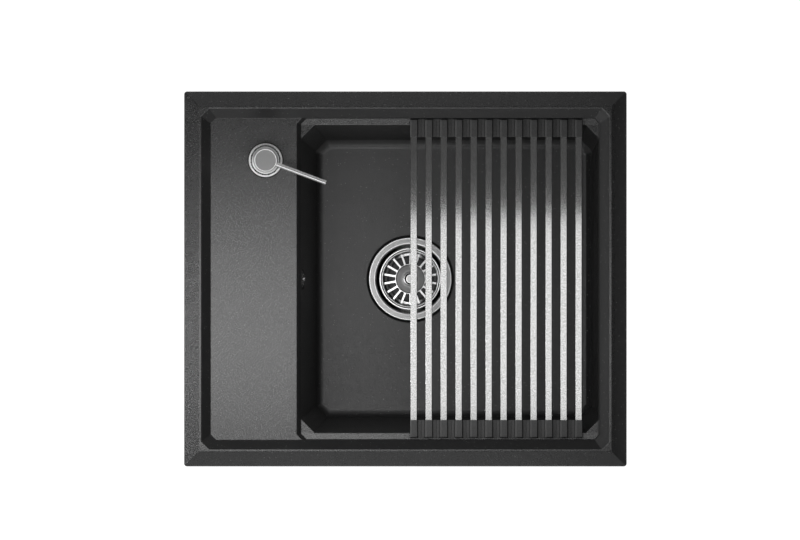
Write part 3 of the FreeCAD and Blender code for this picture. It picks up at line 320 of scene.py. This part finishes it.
steep_roughness = 0.32
dull_roughness = 0.6
low_wall_roughness = 0.35


def middle(name):
    """Middle of a CAD node's box, in plan."""
    low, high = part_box(name)
    return (low.x + high.x) / 2, (low.y + high.y) / 2


waste_middle = middle("strainer_flange")
dispenser_middle = middle("dispenser_cover")

black_stone, wire = new_material("black_stone")
places = wire.places()
grains = wire.node("ShaderNodeTexVoronoi", {}, {"Vector": places, "Scale": 1 / grain_size}, "Color")
chance = wire.node("ShaderNodeSeparateColor", {}, {"Color": grains}, "Red")
tone = wire.node("ShaderNodeSeparateColor", {}, {"Color": grains}, "Green")
clouds = places.noise(cloud_scale, 3.0)
resin = (0.6 * tone + 0.4 * clouds).blended(stone_black, stone_grey)
pale = chance.between(1 - pale_grain_share, 1 - pale_grain_share / 2)
height = places.along("Z")
on_ledge = (height - ledge_z).absolute().between(*ledge_band)
fall = on_ledge * places.along("Y").absolute().between(*ledge_half_y)
worn_floor = height.between(floor_z + foot_height, floor_z)
foot = height.within(floor_z + foot_start, floor_z + foot_height, foot_soft)
back_foot_highlight = foot * places.along("Y").between(*back_foot_y)
right_foot = foot * places.along("X").between(*right_foot_x)
low_right = places.along("X").between(*right_wall_x) * height.between(*right_wall_z)
slope = wire.node("ShaderNodeNewGeometry", {}, {}, "True Normal")
steep = slope.along("Z").absolute().between(*steep_slope)
relief = relief_noise * places.noise(relief_scale, 3.0) + relief_grain * tone
# Painted shadow: a dark, dull ring on the stone round the flange and round the cover.
painted_shadow_ring = (places.distance_from(waste_middle).within(*flange_shadow_ring)
        + places.distance_from(dispenser_middle).within(*cover_shadow_ring))
# Painted highlight: the foot of the back wall is lightened to a pale grey.
moulded = pale.blended(back_foot_highlight.blended(resin, foot_highlight_grey), pale_grain)
finish(black_stone, wire, {
    "Base Color": painted_shadow_ring.blended(moulded, shade_black),
    "Roughness": (level_roughness + grain_roughness * tone + worn_roughness * worn_floor
                  + steep_roughness * steep + dull_roughness * (painted_shadow_ring + right_foot)
                  + low_wall_roughness * low_right),
    "Specular IOR Level": 1.0,
    "Normal": raised(wire, relief + fall, ledge_fall, stone_edge),
})
dress(black_stone, "basin")


# A strip of closed-cell foam lies in a groove under the rim and seals it to the worktop.
foam_colour = (0.055, 0.055, 0.055, 1)
foam_light = (0.09, 0.09, 0.09, 1)
foam_roughness = 0.9
foam_relief = 0.0003
cell_scale = 1400.0

foam, wire = new_material("sealing_foam")
places = wire.places()
cells = wire.node("ShaderNodeTexVoronoi", {}, {"Vector": places, "Scale": cell_scale}, "Distance")
finish(foam, wire, {
    "Base Color": cells.blended(foam_colour, foam_light),
    "Roughness": foam_roughness,
    "Normal": raised(wire, cells, foam_relief),
})
dress(foam, "rim_seal")


# Ten clips of bent strip steel are screwed to the skirt, each with a clamp screw that bears on the
# worktop from below. All are zinc plated: bluish, a little cloudy, with rolling lines in the strip.
zinc_dark = (0.42, 0.43, 0.44, 1)
zinc_light = (0.62, 0.63, 0.64, 1)
zinc_roughness = 0.26
zinc_cloud_scale = 160.0
zinc_cloud_range = (0.35, 0.65)
rolling_scale = 3000.0
rolling_stretch = 0.04
zinc_relief = 0.00004

zinc_steel, wire = new_material("zinc_plated_steel")
places = wire.places()
clouds = places.noise(zinc_cloud_scale, 4.0)
rolled = places.stretched(1, 1, rolling_stretch).noise(rolling_scale)
finish(zinc_steel, wire, {
    "Base Color": clouds.between(*zinc_cloud_range).blended(zinc_dark, zinc_light),
    "Metallic": 1.0,
    "Roughness": zinc_roughness + 0.2 * clouds,
    "Normal": raised(wire, rolled + clouds, zinc_relief),
})
dress(zinc_steel, "worktop_clip_brackets", "bracket_screws", "worktop_clamp_screws")


# Rings of black moulded rubber seal every joint of the waste, the overflow and the dispenser. Each
# is squeezed between its two pieces, and carries a grey bloom.
rubber_black = (0.014, 0.014, 0.015, 1)
rubber_bloom = (0.04, 0.04, 0.041, 1)
rubber_roughness = 0.55
bloom_scale = 220.0
bloom_range = (0.45, 0.75)
rubber_relief_scale = 1800.0
rubber_relief = 0.00005

black_rubber, wire = new_material("black_rubber")
places = wire.places()
bloom = places.noise(bloom_scale, 5.0)
finish(black_rubber, wire, {
    "Base Color": bloom.between(*bloom_range).blended(rubber_black, rubber_bloom),
    "Roughness": rubber_roughness + 0.2 * bloom,
    "Normal": raised(wire, places.noise(rubber_relief_scale), rubber_relief),
})
dress(black_rubber, "flange_gasket", "waste_body_gasket", "stopper_seal", "overflow_gasket",
      "dispenser_seal", "dispenser_washer")


# The strainer flange is pressed from stainless sheet and brushed on a wheel, which leaves fine
# rings round the middle of the waste. Its two rounded edges carry painted highlights, and its cup
# is painted dark as shade, with a painted reflection in a bright fan toward the back and the front.
ring_scale = 4200.0
steel_grain = 1500.0


def wheel_rings(wire, radius):
    """Fine rings that a brushing wheel leaves, over a wire of radii."""
    return wire.node("ShaderNodeTexNoise", {"noise_dimensions": "1D"},
                     {"W": radius, "Scale": ring_scale, "Detail": 2.0}, "Fac")


flange_grey = (0.34, 0.34, 0.34, 1)
flange_edge_highlight = (0.9, 0.9, 0.9, 1)
inner_edge_highlight = (0.0458, 0.0482, 0.0003)
outer_edge_highlight = (0.0535, 0.0558, 0.0003)
cup_radius = (0.0445, 0.0452)
cup_shade_grey = (0.06, 0.06, 0.06, 1)
cup_painted_reflection = (0.95, 0.95, 0.95, 1)
painted_fan_spread = (0.5, 0.2)
flange_roughness = 0.3
flange_relief = 0.00002

flange_steel, wire = new_material("brushed_flange_steel")
places = wire.places()
radius = places.distance_from(waste_middle)
rings = wheel_rings(wire, radius)
grain = places.noise(steel_grain)
# Painted highlights: two near white rings on the flange's rounded edges.
flange_edge_highlights = radius.within(*inner_edge_highlight) + radius.within(*outer_edge_highlight)
plate = flange_edge_highlights.blended(flange_grey, flange_edge_highlight)
# Painted shade darkens the cup, and a painted reflection lights it in a fan toward the back and the
# front.
painted_fan = ((places.along("X") - waste_middle[0]).absolute() / radius).between(*painted_fan_spread)
finish(flange_steel, wire, {
    "Base Color": radius.between(*cup_radius).blended(painted_fan.blended(cup_shade_grey, cup_painted_reflection), plate),
    "Metallic": 1.0,
    "Roughness": flange_roughness + 0.06 * rings + 0.08 * grain,
    "Normal": raised(wire, rings + 0.5 * grain, flange_relief),
})
dress(flange_steel, "strainer_flange")


# The lower body of the waste, the overflow head and pipe, the nuts and the dispenser's shank are
# moulded or drawn from black polypropylene, with a fine eroded texture.
texture_scale = 1300.0
texture_relief = 0.00008
flow_scale = 40.0
flow_range = (0.3, 0.7)


def moulded_plastic(name, dark, light, roughness):
    """Plastic with a fine spark-eroded texture."""
    material, wire = new_material(name)
    places = wire.places()
    texture = places.noise(texture_scale, 3.0)
    flow = places.noise(flow_scale, 4.0)
    return finish(material, wire, {
        "Base Color": flow.between(*flow_range).blended(dark, light),
        "Roughness": roughness + 0.15 * texture,
        "Normal": raised(wire, texture, texture_relief),
    })


plastic_black = (0.022, 0.022, 0.023, 1)
plastic_black_light = (0.032, 0.032, 0.033, 1)

black_plastic = moulded_plastic("black_polypropylene", plastic_black, plastic_black_light,
                                roughness=0.38)
dress(black_plastic, "waste_body", "overflow_head", "overflow_pipe_nuts", "overflow_pipe",
      "dispenser_shank", "dispenser_nut", "pump_body")


# The screws, the overflow's cap and the pump's spring and ball are stainless steel, pressed, turned
# or wound, and polished bright. The spring stands on the cylinder's floor, and gets a mesh of its
# own.
polished_dark = (0.62, 0.62, 0.62, 1)
polished_light = (0.78, 0.78, 0.78, 1)
polished_range = (0.3, 0.7)
polished_roughness = 0.12
polished_relief = 0.000006

polished_steel, wire = new_material("polished_steel")
places = wire.places()
rings = wheel_rings(wire, places.distance_from(waste_middle))
grain = places.noise(steel_grain)
shine = (0.6 * rings + 0.4 * grain).between(*polished_range)
finish(polished_steel, wire, {
    "Base Color": shine.blended(polished_dark, polished_light),
    "Metallic": 1.0,
    "Roughness": polished_roughness + 0.12 * grain,
    "Normal": raised(wire, rings + 0.5 * grain, polished_relief),
})
dress(polished_steel, "waste_screw", "overflow_rosette", "overflow_screw", "pump_inlet_ball",
      "pump_spring")

press_travel = next(max(joint["range_m"]) for joint in frame["joints"]
                    if joint["name"] == "pump_press")
spring_low, spring_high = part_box("pump_spring")
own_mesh(nodes["pump_spring"], "pump_press", axis=(0, 0, 1), anchor=spring_low,
          keep=1 - press_travel / (spring_high.z - spring_low.z))


# The basket is drawn from stainless sheet, with a satin dome in its middle and polished steps round
# it. The sheet round the dome and the dome's flank and crown are painted near white, a painted
# highlight on the polish, and painted shade darkens its three creases. Its knob is turned, with a
# groove below its top, and screwed on to a plastic stem; its top carries a painted highlight ring
# and a painted shadow rings its neck.
satin_relief = 0.00001


def satin_steel(name, centre, grey, rings, roughness, edge=0.0003):
    """Satin steel of one grey, with rings round centre: (from, to, soft, grey, added roughness)."""
    material, wire = new_material(name)
    places = wire.places()
    radius = places.distance_from(centre)
    grain = places.noise(steel_grain)
    for low, high, soft, ring_grey, rougher in rings:
        ring = radius.within(low, high, soft)
        grey = ring.blended(grey, ring_grey)
        roughness = roughness + rougher * ring
    return finish(material, wire, {
        "Base Color": grey,
        "Metallic": 1.0,
        "Roughness": roughness + 0.06 * grain,
        "Normal": raised(wire, grain, satin_relief, edge),
    })


hub_radius = 0.0190
basket_radius = 0.045
hub_grey = (0.36, 0.36, 0.36, 1)
basket_highlight_white = (0.92, 0.92, 0.92, 1)
basket_shade = (0.04, 0.04, 0.04, 1)
knob_grey = (0.52, 0.52, 0.52, 1)
knob_highlight = (0.85, 0.85, 0.85, 1)
basket_roughness = 0.3
# Painted highlights make the dome's flank, its crown ring and the sheet round the dome near white;
# painted shade darkens the three creases.
dome_flank_highlight = (0.0090, hub_radius + 0.0004, 0.0020, basket_highlight_white, 0.28)
flat_sheet_highlight = (hub_radius, basket_radius, 0.0004, basket_highlight_white, 0.0)
dome_crown_highlight = (0.0074, 0.0086, 0.0004, basket_highlight_white, 0.0)
floor_crease_shade = (0.0346, 0.0357, 0.0002, basket_shade, 0.0)
wall_crease_shade = (0.0379, 0.0392, 0.0002, basket_shade, 0.0)
rim_crease_shade = (0.0408, 0.0430, 0.0002, basket_shade, 0.0)
# Painted highlight on a ring of the knob's top, and painted shadow in a ring round its neck.
knob_highlight_ring = (0.0043, 0.0058, 0.0002, knob_highlight, 0.0)
knob_shadow_ring = (0.0057, 0.0073, 0.0001, shade_black, 0.0)

basket_rings = (dome_flank_highlight, flat_sheet_highlight, dome_crown_highlight, floor_crease_shade, wall_crease_shade, rim_crease_shade)
basket_steel = satin_steel("satin_basket_steel", waste_middle, hub_grey, basket_rings,
                           basket_roughness)
dress(basket_steel, "strainer_basket")
knob_steel = satin_steel("satin_knob_steel", waste_middle, knob_grey,
                         (knob_highlight_ring, knob_shadow_ring), basket_roughness)
dress(knob_steel, "basket_knob")
dress(black_plastic, "basket_stem")


# The dispenser's flared cover is spun steel and its head a solid satin button; the cover's grey is
# raised into painted brightness and the head's lowered into painted shade. Painted highlights ring
# the edges of both, and the thin polished tube of the nozzle has a painted reflection: a dark line
# along its top between painted highlights.
# Painted light and shade: the cover's grey is set paler and the head's darker than their one steel.
cover_lit_grey = (0.86, 0.86, 0.86, 1)
head_shaded_grey = (0.3, 0.3, 0.3, 1)
# Painted highlight: near white for the rims of the cover and the head and the nozzle's sides.
painted_highlight = (0.95, 0.95, 0.95, 1)
cover_rim_highlight = (0.0214, 0.0232, 0.0003, painted_highlight, 0.2)
head_rim_highlight = (0.0135, 0.0154, 0.0003, painted_highlight, 0.2)
cover_roughness = 0.44
head_roughness = 0.34
turned_edge = 0.0005

cover_steel = satin_steel("bright_cover_steel", dispenser_middle, cover_lit_grey, (cover_rim_highlight,),
                          cover_roughness, turned_edge)
dress(cover_steel, "dispenser_cover")
head_steel = satin_steel("satin_head_steel", dispenser_middle, head_shaded_grey, (head_rim_highlight,),
                         head_roughness, turned_edge)
dress(head_steel, "pump_head")

nozzle_turn = math.radians(-20.4)
# Painted reflection: a dark grey line along the nozzle's top, with painted highlights to each side.
nozzle_reflection_line = (0.0003, 0.0010)
nozzle_reflection_grey = (0.2, 0.2, 0.2, 1)

nozzle_steel, wire = new_material("nozzle_steel")
places = wire.places()
to_right = places.along("X") - dispenser_middle[0]
to_back = places.along("Y") - dispenser_middle[1]
off_line = to_right * math.sin(nozzle_turn) - to_back * math.cos(nozzle_turn)
side_highlight = off_line.absolute().between(*nozzle_reflection_line)
finish(nozzle_steel, wire, {
    "Base Color": side_highlight.blended(nozzle_reflection_grey, painted_highlight),
    "Metallic": 1.0,
    "Roughness": head_roughness + 0.06 * side_highlight,
    "Normal": raised(wire, places.noise(steel_grain), satin_relief),
})
dress(nozzle_steel, "pump_nozzle")


# The bottle is blown from milky polyethylene and hangs from the shank's thread. The pump's tube,
# stem and piston are moulded from white plastic.
milky = (0.66, 0.66, 0.64, 1)
milky_light = (0.74, 0.74, 0.72, 1)
plastic_white = (0.72, 0.72, 0.72, 1)
plastic_white_light = (0.78, 0.78, 0.78, 1)

milky_plastic = moulded_plastic("milky_polyethylene", milky, milky_light, roughness=0.35)
dress(milky_plastic, "dispenser_bottle")
white_plastic = moulded_plastic("white_plastic", plastic_white, plastic_white_light,
                                roughness=0.3)
dress(white_plastic, "pump_dip_tube", "pump_stem", "pump_piston")


# The rack's bars are flat stainless tubes, ground lengthways, with a coarse bright grain. Their
# ends are pressed into the caps.
bar_dark = (0.27, 0.27, 0.268, 1)
bar_light = (0.43, 0.43, 0.427, 1)
bar_grain_scale = 900.0
bar_grain_range = (0.4, 0.6)
grinding_scale = 3000.0
grinding_stretch = 0.03
bar_roughness = 0.105
bar_relief = 0.000005

bar_steel, wire = new_material("ground_bar_steel")
places = wire.places()
grain = places.noise(bar_grain_scale, 1.0).between(*bar_grain_range)
lines = places.stretched(1, grinding_stretch, 1).noise(grinding_scale)
finish(bar_steel, wire, {
    "Base Color": grain.blended(bar_dark, bar_light),
    "Metallic": 1.0,
    "Roughness": bar_roughness + 0.03 * grain,
    "Normal": raised(wire, lines, bar_relief),
})
rack_bars = sorted(name for name in nodes if name.startswith("rack_bar_"))
dress(bar_steel, *rack_bars)


# Caps of matt dark silicone hold the ends of the bars and join them, cap to cap. A painted shadow
# lies in the crease between two caps, and every second cap has an edge lightened by a painted
# highlight.
silicone_dark = (0.046, 0.046, 0.046, 1)
silicone_light = (0.072, 0.072, 0.072, 1)
silicone_highlight = (0.2, 0.2, 0.2, 1)
cap_width = 0.010
first_cap_left = 0.0061
# Painted shadow in the crease between two caps, and a painted highlight on an edge of every second
# cap.
crease_shadow_half = (0.44, 0.48)
edge_highlight_share = (0.035, 0.085, 0.01)
silicone_edge_radius = 0.0012
silicone_roughness = 0.34
dust_scale = 500.0
dust_range = (0.3, 0.7)
silicone_relief_scale = 2200.0
silicone_relief = 0.00004

silicone, wire = new_material("dark_silicone")
places = wire.places()
dust = places.noise(dust_scale, 4.0)
caps_along = (places.along("X") - first_cap_left) / cap_width
in_cap = caps_along.math("FRACT", caps_along)
in_pair = caps_along.math("FRACT", caps_along * 0.5)
crease_shadow = (in_cap - 0.5).absolute().between(*crease_shadow_half)
cap_edge_highlight = in_pair.within(*edge_highlight_share)
rubber = dust.between(*dust_range).blended(silicone_dark, silicone_light)
finish(silicone, wire, {
    "Base Color": crease_shadow.blended(cap_edge_highlight.blended(rubber, silicone_highlight), shade_black),
    "Roughness": silicone_roughness + 0.14 * dust + 0.4 * crease_shadow,
    "Normal": raised(wire, places.noise(silicone_relief_scale), silicone_relief,
                     silicone_edge_radius),
})
rack_caps = sorted(name for name in nodes if name.startswith("rack_end_caps_"))
dress(silicone, *rack_caps)
